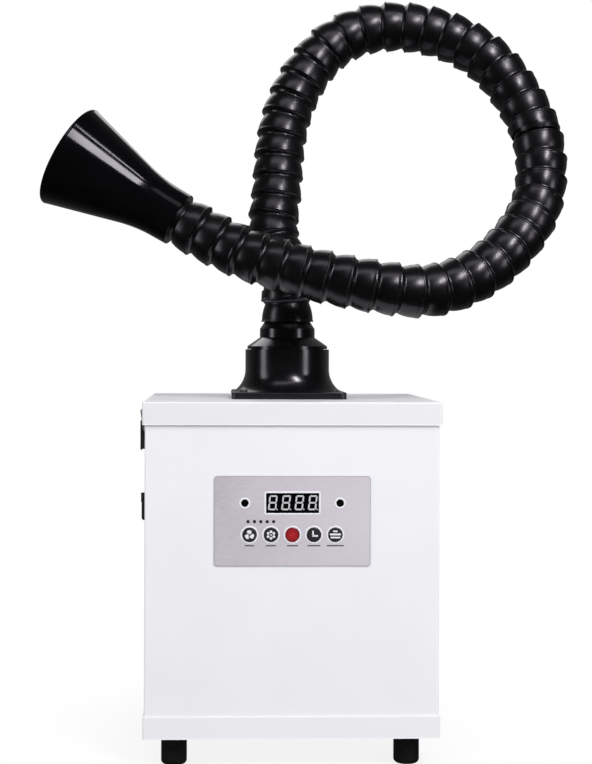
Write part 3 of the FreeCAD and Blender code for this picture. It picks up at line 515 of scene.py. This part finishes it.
def route_points():
    """Points along the hose's centreline, read from its NURBS spline."""
    foot = Vector((0, 0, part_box("swivel_cap")[1].z))
    curve = bpy.data.curves.new("hose_route", "CURVE")
    curve.dimensions = "3D"
    spline = curve.splines.new("NURBS")
    spline.points.add(len(hose_route) - 1)
    for point, offset in zip(spline.points, hose_route):
        point.co = (*(foot + Vector(offset)), 1)
    spline.order_u = 3
    spline.use_endpoint_u = True
    spline.resolution_u = 48
    holder = bpy.data.objects.new("hose_route", curve)
    mesh = bpy.data.meshes.new_from_object(holder)
    points = [v.co.copy() for v in mesh.vertices]
    bpy.data.objects.remove(holder)
    bpy.data.curves.remove(curve)
    bpy.data.meshes.remove(mesh)
    return points


class Line:
    """A line through points, read by distance along it."""

    def __init__(self, points):
        self.points = points
        self.marks = [0.0]
        for a, b in zip(points, points[1:]):
            self.marks.append(self.marks[-1] + (b - a).length)
        self.length = self.marks[-1]
        befores = points[:1] + points[:-1]
        afters = points[1:] + points[-1:]
        self.ways = [(b - a).normalized() for a, b in zip(befores, afters)]

    def at(self, distance):
        """The point and the direction at a distance, straight past either end."""
        inside = min(max(distance, 0.0), self.length)
        high = min(max(bisect.bisect_right(self.marks, inside), 1), len(self.marks) - 1)
        low = high - 1
        share = (inside - self.marks[low]) / (self.marks[high] - self.marks[low])
        way = self.ways[low].lerp(self.ways[high], share).normalized()
        return self.points[low].lerp(self.points[high], share) + way * (distance - inside), way


def hoop(place, radius, sides=ring_sides):
    """Points of a circle across a direction, its first one held towards +Y."""
    centre, way = place
    across = (Vector((0, 1, 0)) - way * way.y).normalized()
    other = way.cross(across)
    turns = [2 * math.pi * i / sides for i in range(sides)]
    return [centre + (across * math.cos(t) + other * math.sin(t)) * radius for t in turns]


def rib_radius(share):
    """A rib has a proud rim, narrows in a full curve to its root and flares under the next rim."""
    if share <= rim_end:
        return lip_r
    if share <= root_at:
        return belly_r - (belly_r - root_r) * (share / root_at) ** belly_power
    t = (share - root_at) / (1 - root_at)
    return root_r + (belly_r - root_r) * t**flare_power


def rib_shares():
    """Where a rib's rings are: closer together towards its root and under the next rim."""
    belly = [belly_start + (root_at - belly_start) * (i / 12) ** 0.8 for i in range(13)]
    flare = [root_at + (1 - root_at) * i / 7 for i in range(1, 8)]
    return [0, rim_end] + belly + flare


def joint_rings(line, rib, profile):
    """Rings round the axis of the ball joint under a rib's lip, from (along, radius) pairs."""
    centre, way = line.at(rib * line.length / rib_count + lip_reach)
    return [hoop((centre + way * along, way), radius) for along, radius in profile]


def arc_profile(radius, start, end, steps):
    """(along, radius) pairs over a ball, between two places along its axis."""
    a, b = math.asin(start / radius), math.asin(end / radius)
    angles = [a + (b - a) * i / steps for i in range(steps + 1)]
    return [(radius * math.sin(t), radius * math.cos(t)) for t in angles]


def hose_piece(name, line, first, last, in_socket, body, spans):
    """The ribs of one body: outside from lip to ball, then back through the bore."""
    pitch = line.length / rib_count
    outer, inner = [], []
    for rib in range(first, last):
        for share in rib_shares():
            if rib == last - 1 and share > last_rib_part:
                continue
            if in_socket and rib == first and share < root_at:
                outer += joint_rings(line, rib, [(share * pitch - lip_reach, rib_radius(share))])
                continue
            outer.append(hoop(line.at((rib + share) * pitch), rib_radius(share)))
        below_socket = not (in_socket and rib == first)
        for share in (0.0, 0.5):
            if below_socket and rib < last - 1:
                inner.append(hoop(line.at((rib + share) * pitch), bore_r))
    end_share = 1 - (shoulder - lip_reach) / pitch
    first_share = last_rib_part + 0.05
    shares = [first_share + (end_share - first_share) * i / 5 for i in range(6)]
    tail = [((share - 1) * pitch - lip_reach, rib_radius(share)) for share in shares]
    tail += [(-shoulder, ball_neck_r)]
    neck = -math.sqrt(ball_r**2 - ball_neck_r**2)
    tail += arc_profile(ball_r, neck, ball_tip, 10)
    tail += [(ball_tip, ball_bore_r), (-shoulder, ball_bore_r), (-shoulder - bore_taper, bore_r)]
    outer += joint_rings(line, last, tail)
    if in_socket:
        seat = math.sqrt(socket_r**2 - bore_r**2)
        inner = joint_rings(line, first, arc_profile(socket_r, -lip_reach, seat, 8)) + inner
    mesh = bmesh.new()
    skin(mesh, outer + inner[::-1])
    return piece(name, mesh, body, materials["hose_black"], spans)


def make_nozzle(line):
    """The horn's outside, its rolled rim, and its inside down to the last ball's socket."""
    slope_in = (kink_r - neck_r) / kink_at
    slope_out = (mouth_r - kink_r) / (mouth_at - kink_at)
    before, after = neck_blend
    start = Vector((kink_at - before, kink_r - slope_in * before))
    end = Vector((kink_at + after, kink_r + slope_out * after))
    kink = Vector((kink_at, kink_r))
    outside = [Vector((0, neck_r - 0.4 * mm)), Vector((0.4 * mm, neck_r))]
    for i in range(13):
        s = i / 12
        outside.append(start.lerp(kink, s).lerp(kink.lerp(end, s), s))
    middle_r = mouth_r - horn_wall / 2
    rim_turns = [math.pi * (0.75 - i / 8) for i in range(9)]
    bead = [Vector((mouth_at + bead_r * math.cos(a), middle_r + bead_r * math.sin(a))) for a in rim_turns]
    outside += [end.lerp(bead[0], share) for share in (0.15, 0.3, 0.45, 0.6, 0.75, 0.9, 0.98)]
    bead += [Vector((mouth_at, middle_r - bead_r)), Vector((mouth_at - bead_r, middle_r - horn_wall / 2))]
    throat = [Vector((kink_at, kink_r - horn_wall)), Vector((neck_bore_at, bore_r))]
    seat = math.sqrt(socket_r**2 - bore_r**2)
    socket = [Vector((a + lip_reach, r)) for a, r in arc_profile(socket_r, -lip_reach, seat, 8)]
    profile = outside + bead + throat + socket[::-1]
    mesh = bmesh.new()
    skin(mesh, [hoop(line.at(line.length + along), radius, horn_sides) for along, radius in profile])
    piece("nozzle_horn", mesh, "nozzle", materials["nozzle_gloss"], ["nozzle"])


def make_hose():
    line = Line(route_points())
    make_nozzle(line)
    upper = swivel_ribs + lower_arm_ribs
    span = ["hose_span_%02d" % i for i in range(1, 9)]
    hose_piece("hose_swivel_ribs", line, 0, swivel_ribs, False, "swivel", span[:1])
    hose_piece("hose_lower_arm", line, swivel_ribs, upper, True, "arm_lower", span[1:5])
    hose_piece("hose_upper_arm", line, upper, rib_count, True, "arm_upper", span[5:])


def circle(x, z, radius, sides=40, start=0.0):
    turns = [start + 2 * math.pi * i / sides for i in range(sides)]
    return [(x + radius * math.cos(t), z + radius * math.sin(t)) for t in turns]


def rounded_bar(x, z, w, h, radius, sides=6):
    """A rectangle with round corners, counted from its middle."""
    points = []
    for cx, cz, quarter in ((1, 1, 0), (-1, 1, 1), (-1, -1, 2), (1, -1, 3)):
        for i in range(sides + 1):
            t = math.pi / 2 * (quarter + i / sides)
            points.append((x + cx * (w / 2 - radius) + radius * math.cos(t),
                           z + cz * (h / 2 - radius) + radius * math.sin(t)))
    return points


def inlay(name, outlines, y_face, proud, body, material, depth=0.2 * mm):
    """Flat shapes in the front plane, standing a little proud of y_face, with softened edges."""
    mesh = bmesh.new()
    soft = 0.3 * proud
    for outline in outlines:
        cx = sum(p[0] for p in outline) / len(outline)
        cz = sum(p[1] for p in outline) / len(outline)
        rings = []
        for y, inset in ((y_face + depth, 0.0), (y_face - proud + soft, 0.0), (y_face - proud, soft)):
            ring = []
            for x, z in outline:
                away = math.hypot(x - cx, z - cz)
                keep = 1 - inset / max(away, inset)
                ring.append((cx + (x - cx) * keep, y, cz + (z - cz) * keep))
            rings.append(ring)
        made = skin(mesh, rings, closed=False)
        mesh.faces.new(made[0])
        mesh.faces.new(made[-1][::-1])
    return piece(name, mesh, body, material)


def rim(name, outlines, y_face, width, height, body, material):
    """Half-round raised rims along closed outlines in the front plane."""
    mesh = bmesh.new()
    steps = 6
    for outline in outlines:
        count = len(outline)
        rings = []
        for i in range(steps + 1):
            t = math.pi * i / steps
            out, up = -0.5 * width * math.cos(t), height * math.sin(t)
            ring = []
            for k, (x, z) in enumerate(outline):
                ax, az = outline[k - 1]
                bx, bz = outline[(k + 1) % count]
                size = math.hypot(bx - ax, bz - az)
                nx, nz = (bz - az) / size, -(bx - ax) / size
                ring.append((x + nx * out, y_face - up, z + nz * out))
            rings.append(ring)
        rings += [[(x, y_face + 0.1 * mm, z) for x, _, z in ring] for ring in (rings[-1], rings[0])]
        skin(mesh, rings)
    return piece(name, mesh, body, material)


def middle(node):
    low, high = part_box(node)
    return (low + high) / 2


def digit_segments(x, z, height, width, bar, slant):
    """Seven bars and a point of one unlit digit."""
    half_h, half_w, cut = height / 2, width / 2, bar / 2
    gap = 0.08 * bar

    def lean(points):
        return [(x + px + slant * pz, z + pz) for px, pz in points]

    tip, heel = half_w - cut / 2 - gap, half_w - 3 * cut / 2 - gap
    shapes = []
    for level in (-half_h + cut, 0, half_h - cut):
        shapes.append(lean([(-tip, level), (-heel, level - cut), (heel, level - cut),
                            (tip, level), (heel, level + cut), (-heel, level + cut)]))
    for side in (-1, 1):
        for level in (-1, 1):
            px = side * (half_w - cut)
            low, high = sorted((level * (cut + gap - cut / 2), level * (half_h - cut - gap + cut / 2)))
            shapes.append(lean([(px, low), (px + cut, low + cut), (px + cut, high - cut), (px, high),
                                (px - cut, high - cut), (px - cut, low + cut)]))
    shapes.append(circle(x + half_w + 1.25 * cut - slant * half_h, z - half_h + cut, 0.9 * cut, 20))
    return shapes


def make_panel():
    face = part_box("control_overlay")[0].y
    low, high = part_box("display_module")
    centre = (low + high) / 2
    width, height = high.x - low.x, high.z - low.z
    shapes = []
    for i in range(digit_count):
        x = centre.x + digit_shift[0] + (i - (digit_count - 1) / 2) * digit_pitch
        z = centre.z + digit_shift[1]
        shapes += digit_segments(x, z, digit_h, digit_w, digit_bar, digit_slant)
    inlay("display_digits", shapes, low.y, digit_proud, "cabinet", segment_ink)
    rims = [rounded_bar(centre.x, centre.z, width + bezel_margin, height + bezel_margin, bezel_corner)]
    rims += [circle(side * receiver_x, centre.z, receiver_rim_r, 48) for side in (-1, 1)]
    labels = []
    for name, wide in label_w.items():
        at = middle(name)
        rims.append(circle(at.x, at.z, button_rim_r, 64))
        labels.append(rounded_bar(at.x, at.z - label_drop, wide, label_h, label_corner))
    rim("panel_rims", rims, face, rim_w, rim_h, "cabinet", rim_ink)
    inlay("panel_label_bars", labels, face, label_proud, "cabinet", grey_ink)
    border = rounded_bar(0, middle("control_overlay").z, border_w, border_h, border_corner)
    # painted shade: a dark grey raised line round the overlay's edge
    rim("panel_border", [border], face, 0.6 * mm, 0.1 * mm, "cabinet", border_shade_ink)


def fan_blade(x, z, turn):
    """One swept blade of the fan sign."""
    hub, reach, sweep, spread, steps = 1.0 * mm, 4.7 * mm, 0.75, 1.25, 12
    lead, trail = [], []
    for i in range(steps + 1):
        t = i / steps
        r = hub + (reach - hub) * t
        a = turn + sweep * t
        lead.append((x + r * math.cos(a), z + r * math.sin(a)))
        b = a + 0.35 + spread * math.sin(math.pi * min(1.0, 0.2 + 0.72 * t))
        trail.append((x + r * math.cos(b), z + r * math.sin(b)))
    return lead + trail[::-1]


def make_button_signs():
    def sign(button, outlines_at):
        at = middle(button)
        inlay("sign_" + button, outlines_at(at.x, at.z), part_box(button)[0].y, sign_proud, button, white_ink)

    sign("button_fan", lambda x, z: [fan_blade(x, z, 0.5 + 2 * math.pi * i / 3) for i in range(3)])
    petals = [math.pi / 2 + math.pi / 3 * i for i in range(6)]
    sign("button_mode", lambda x, z: [circle(x, z, 0.75 * mm, 20)] + [
        circle(x + 3.1 * mm * math.cos(a), z + 3.1 * mm * math.sin(a), 1.3 * mm, 28) for a in petals])
    sign("button_timer", lambda x, z: [
        rounded_bar(x - 0.9 * mm, z + 1.7 * mm, 1.6 * mm, 4.6 * mm, 0.3 * mm),
        rounded_bar(x + 1.1 * mm, z - 0.9 * mm, 5.6 * mm, 1.6 * mm, 0.3 * mm)])
    sign("button_level", lambda x, z: [
        rounded_bar(x, z + 3.5 * mm, 4.4 * mm, 1.5 * mm, 0.7 * mm),
        rounded_bar(x, z + 0.5 * mm, 10.6 * mm, 1.8 * mm, 0.5 * mm),
        rounded_bar(x, z - 2.5 * mm, 9.4 * mm, 1.5 * mm, 0.5 * mm)])


def make_switch_marks():
    """The open ring and the bar of the mains switch, laid on the rocker's face."""
    rocker = nodes["power_rocker"]
    low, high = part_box("power_rocker")
    centre = (low + high) / 2
    reach = 0.26 * (high.z - low.z)
    ring_r, line_w, bar_h, sides = 1.7 * mm, 0.6 * mm, 3.6 * mm, 40
    proud, sunk = 0.06 * mm, -0.1 * mm

    def laid(outline, lift):
        points = []
        for x, z in outline:
            _, at, normal, _ = rocker.ray_cast(Vector((x, high.y + 10 * mm, z)), Vector((0, -1, 0)))
            points.append(at + normal * lift)
        return points

    mesh = bmesh.new()
    inner, outer = [circle(centre.x, centre.z - reach, ring_r + s * line_w / 2, sides) for s in (-1, 1)]
    skin(mesh, [laid(outer, sunk), laid(outer, proud), laid(inner, proud), laid(inner, sunk)])
    bar = rounded_bar(centre.x, centre.z + reach, line_w, bar_h, 0.25 * mm)
    made = skin(mesh, [laid(bar, sunk), laid(bar, proud)], closed=False)
    mesh.faces.new(made[0])
    mesh.faces.new(made[-1])
    piece("switch_marks", mesh, "power_rocker", white_ink)


def cross_radius(turn, length, half_width):
    """Distance from the middle to a cross recess's edge in a direction."""
    reach = 0.0
    for a in (turn, turn + math.pi / 2):
        c, s = abs(math.cos(a)) + 1e-6, abs(math.sin(a)) + 1e-6
        reach = max(reach, min(length / c, half_width / s))
    return reach


def screw(mesh, seat, out, head_r, head_h, shank_r, shank_l):
    """A pan-head screw with a cross recess; seat is under its head, out points away from the wall."""
    spin = out.to_track_quat("Z", "Y").to_matrix().to_4x4()
    frame_at = Matrix.Translation(seat) @ spin
    sides = 48
    turns = [2 * math.pi * i / sides for i in range(sides)]

    def loop(radius, height):
        return [frame_at @ Vector((radius * math.cos(t), radius * math.sin(t), height)) for t in turns]

    rings = [loop(shank_r, -shank_l), loop(shank_r, 0), loop(head_r, 0), loop(head_r, 0.35 * head_h)]
    for i in range(1, 6):
        t = math.pi / 2 * i / 6
        rings.append(loop(head_r * (0.55 + 0.45 * math.cos(t)), head_h * (0.35 + 0.65 * math.sin(t))))
    edge = [cross_radius(t, recess_reach * head_r, recess_half_w * head_r) for t in turns]
    for height in (head_h, recess_floor * head_h):
        rings.append([frame_at @ Vector((r * math.cos(t), r * math.sin(t), height))
                      for r, t in zip(edge, turns)])
    made = skin(mesh, rings, closed=False)
    mesh.faces.new(made[0])
    mesh.faces.new(made[-1])


def solids_of(node):
    """The low and high corners of each separate solid in a node, found by nearness in the mesh."""
    data = nodes[node].data
    links = {}
    for v in data.vertices:
        key = tuple(round(c / (0.01 * mm)) for c in v.co)
        links.setdefault(key, key)

    def root(k):
        while links[k] != k:
            k = links[k]
        return k

    keys = [tuple(round(c / (0.01 * mm)) for c in v.co) for v in data.vertices]
    for face in data.polygons:
        first = root(keys[face.vertices[0]])
        for i in face.vertices[1:]:
            links[root(keys[i])] = first
    groups = {}
    for v, k in zip(data.vertices, keys):
        groups.setdefault(root(k), []).append(v.co)
    boxes = []
    for points in groups.values():
        boxes.append((Vector(map(min, zip(*points))), Vector(map(max, zip(*points)))))
    return boxes


def make_screws():
    mesh = bmesh.new()
    for low, high in solids_of("port_screws"):
        seat = Vector(((low.x + high.x) / 2, (low.y + high.y) / 2, high.z - port_head_h))
        head_r = (high.x - low.x) / 2
        screw(mesh, seat, Vector((0, 0, 1)), head_r, port_head_h, port_shank_r, seat.z - low.z)
    piece("port_screw_set", mesh, "lid_assembly", materials["black_screw"], ["port_screws"])
    mesh = bmesh.new()
    for low, high in solids_of("rear_screws"):
        seat = Vector(((low.x + high.x) / 2, high.y - rear_head_h, (low.z + high.z) / 2))
        head_r = (high.x - low.x) / 2
        screw(mesh, seat, Vector((0, 1, 0)), head_r, rear_head_h, rear_shank_r, seat.y - low.y)
    piece("rear_screw_set", mesh, "cabinet", materials["zinc_steel"], ["rear_screws"])


def soft_block(node, body, slot, cell, edge, rough):
    """A foam or fibre pad in its CAD solid's place, with round edges and an uneven face."""
    low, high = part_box(node)
    size, centre = high - low, (low + high) / 2
    counts = [max(2, round(s / cell)) for s in size]
    mesh = bmesh.new()
    verts = {}

    def vert(i, j, k):
        key = (i, j, k)
        if key in verts:
            return verts[key]
        at = Vector(low[a] + size[a] * (i, j, k)[a] / counts[a] for a in range(3))
        core = Vector(min(max(at[a], low[a] + edge), high[a] - edge) for a in range(3))
        out = at - core
        if out.length > 1e-9:
            at = core + out.normalized() * edge
        dip = rough * (0.5 + 0.5 * noise.noise(at * 160) + 0.35 * noise.noise(at * 420))
        away = out.normalized() if out.length > 1e-9 else (at - centre).normalized()
        verts[key] = mesh.verts.new(at - away * max(0.0, dip))
        return verts[key]

    for a in range(3):
        b, c = (a + 1) % 3, (a + 2) % 3
        for end in (0, counts[a]):
            for m in range(counts[b]):
                for n in range(counts[c]):
                    corner = []
                    for dm, dn in ((0, 0), (1, 0), (1, 1), (0, 1)):
                        key = [0, 0, 0]
                        key[a], key[b], key[c] = end, m + dm, n + dn
                        corner.append(vert(*key))
                    mesh.faces.new(corner)
    made = piece(node + "_soft", mesh, body, materials[slot], [node])
    return made


def soft_frame(node, body, slot, width, edge):
    """A foam strip laid round a rectangle, with round edges."""
    low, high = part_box(node)
    thick = high.z - low.z
    section = rounded_bar(width / 2, thick / 2, width, thick, edge, 4)
    steps, strip_give = 40, 0.12 * mm
    mesh = bmesh.new()
    path = []
    corners = [(low.x, low.y, 1, 1), (high.x, low.y, -1, 1),
               (high.x, high.y, -1, -1), (low.x, high.y, 1, -1)]
    for (ax, ay, in_x, in_y), (bx, by, _, _) in zip(corners, corners[1:] + corners[:1]):
        for i in range(steps):
            t = i / steps
            sx = in_x if i == 0 or ax == bx else 0
            sy = in_y if i == 0 or ay == by else 0
            path.append((ax + (bx - ax) * t, ay + (by - ay) * t, sx, sy))
    rings = []
    for x, y, sx, sy in path:
        ring = []
        for across, up in section:
            at = Vector((x + sx * across, y + sy * across, low.z + up))
            give = strip_give * (1 + noise.noise(at * 90))
            ring.append((at.x + sx * give, at.y + sy * give, at.z))
        rings.append(ring)
    skin(mesh, rings)
    made = piece(node + "_soft", mesh, body, materials[slot], [node])
    return made


def make_soft_pieces():
    soft_block("exhaust_foam", "cabinet", "filter_foam", 4 * mm, 2.0 * mm, 0.5 * mm)
    soft_block("prefilter_pad", "cabinet", "prefilter_fibre", 4 * mm, 4.0 * mm, 1.0 * mm)
    soft_block("carbon_bed", "cabinet", "carbon", 4 * mm, 0.4 * mm, 0.3 * mm)
    soft_frame("lid_gasket", "lid_assembly", "seal_foam", 10 * mm, 1.2 * mm)
    soft_frame("filter_seal", "cabinet", "seal_foam", 14 * mm, 1.4 * mm)


def make_camera():
    data = bpy.data.cameras.new("camera")
    data.sensor_width = sensor
    data.lens = focal_px / image_h * sensor
    data.shift_x = (image_w / 2 - principal_px[0]) / image_h
    data.shift_y = (principal_px[1] - image_h / 2) / image_h
    camera = bpy.data.objects.new("camera", data)
    camera.location = camera_place
    turn = Matrix.Rotation(math.radians(-camera_yaw), 3, "Z") @ Matrix.Rotation(math.radians(90), 3, "X")
    camera.rotation_euler = (turn @ Matrix.Rotation(math.radians(camera_roll), 3, "Z")).to_euler()
    bpy.context.scene.collection.objects.link(camera)
    bpy.context.scene.camera = camera


def softbox(name, azimuth, elevation, distance, width, height, power, aim, lean):
    """A soft rectangular light aimed at a point."""
    a, e = math.radians(azimuth), math.radians(elevation)
    way = Vector((math.sin(a) * math.cos(e), -math.cos(a) * math.cos(e), math.sin(e)))
    data = bpy.data.lights.new(name, "AREA")
    data.shape = "RECTANGLE"
    data.size, data.size_y = width, height
    data.energy = power
    data.color = lamp_tint
    light = bpy.data.objects.new(name, data)
    light.location = Vector(aim) + way * distance
    spin = Matrix.Rotation(math.radians(-lean), 3, "Z")
    light.rotation_euler = (way.to_track_quat("Z", "Y").to_matrix() @ spin).to_euler()
    light.visible_camera = False
    bpy.context.scene.collection.objects.link(light)


def make_floor():
    """A pale floor that fades to the white ground of the photograph."""
    floor_r, sides = 30.0, 96
    floor_shown, floor_faded, floor_glow = 0.15, 0.3, 0.82
    mesh = bmesh.new()
    bmesh.ops.create_circle(mesh, cap_ends=True, segments=sides, radius=floor_r)
    data = bpy.data.meshes.new("floor")
    mesh.to_mesh(data)
    mesh.free()
    pale = Shader("pale_floor", (0.9, 0.9, 0.905), 0.6)
    pale.tint(pale.ranged(pale.noise(3, 3), 0, 0.4), (0.87, 0.87, 0.875))
    faded = pale.ranged(pale.away((0, 0, 0)), floor_glow, 1, floor_shown, floor_faded)
    pale.tint(faded, (0, 0, 0))
    pale.set("Specular IOR Level", 0.0)
    pale.set("Emission Color", (1, 1, 1, 1))
    pale.link(faded, pale.bsdf, "Emission Strength")
    data.materials.append(pale.material)
    floor = bpy.data.objects.new("floor", data)
    floor.visible_glossy = False
    floor.visible_diffuse = False
    bpy.context.scene.collection.objects.link(floor)


def make_world():
    """White to the camera, ambient light to the object, a dim room in its shine."""
    world = bpy.data.worlds.new("studio")
    bpy.context.scene.world = world
    world.use_nodes = True
    tree = world.node_tree
    shown = tree.nodes.new("ShaderNodeBackground")
    shown.inputs["Color"].default_value = (1, 1, 1, 1)
    around = tree.nodes["Background"]
    around.inputs["Color"].default_value = (*sky_tint, 1)
    around.inputs["Strength"].default_value = ambient
    mirrored = tree.nodes.new("ShaderNodeBackground")
    mirrored.inputs["Color"].default_value = (*sky_tint, 1)
    way = tree.nodes.new("ShaderNodeSeparateXYZ")
    tree.links.new(tree.nodes.new("ShaderNodeTexCoord").outputs["Generated"], way.inputs[0])
    behind = tree.nodes.new("ShaderNodeMapRange")
    behind.inputs["From Min"].default_value = 0.1
    behind.inputs["From Max"].default_value = 0.8
    behind.inputs["To Min"].default_value = mirrored_ambient
    behind.inputs["To Max"].default_value = mirrored_behind
    tree.links.new(way.outputs["Y"], behind.inputs["Value"])
    tree.links.new(behind.outputs["Result"], mirrored.inputs["Strength"])
    path = tree.nodes.new("ShaderNodeLightPath")
    last = around
    for ray, seen in (("Is Glossy Ray", mirrored), ("Is Camera Ray", shown)):
        mix = tree.nodes.new("ShaderNodeMixShader")
        tree.links.new(path.outputs[ray], mix.inputs[0])
        tree.links.new(last.outputs[0], mix.inputs[1])
        tree.links.new(seen.outputs[0], mix.inputs[2])
        last = mix
    tree.links.new(last.outputs[0], tree.nodes["World Output"].inputs["Surface"])
    bpy.context.scene.view_settings.view_transform = "Standard"


make_camera()
make_floor()
make_world()
for box in softboxes:
    softbox(*box)
paint_nodes()
make_hose()
make_panel()
make_button_signs()
make_switch_marks()
make_screws()
make_soft_pieces()
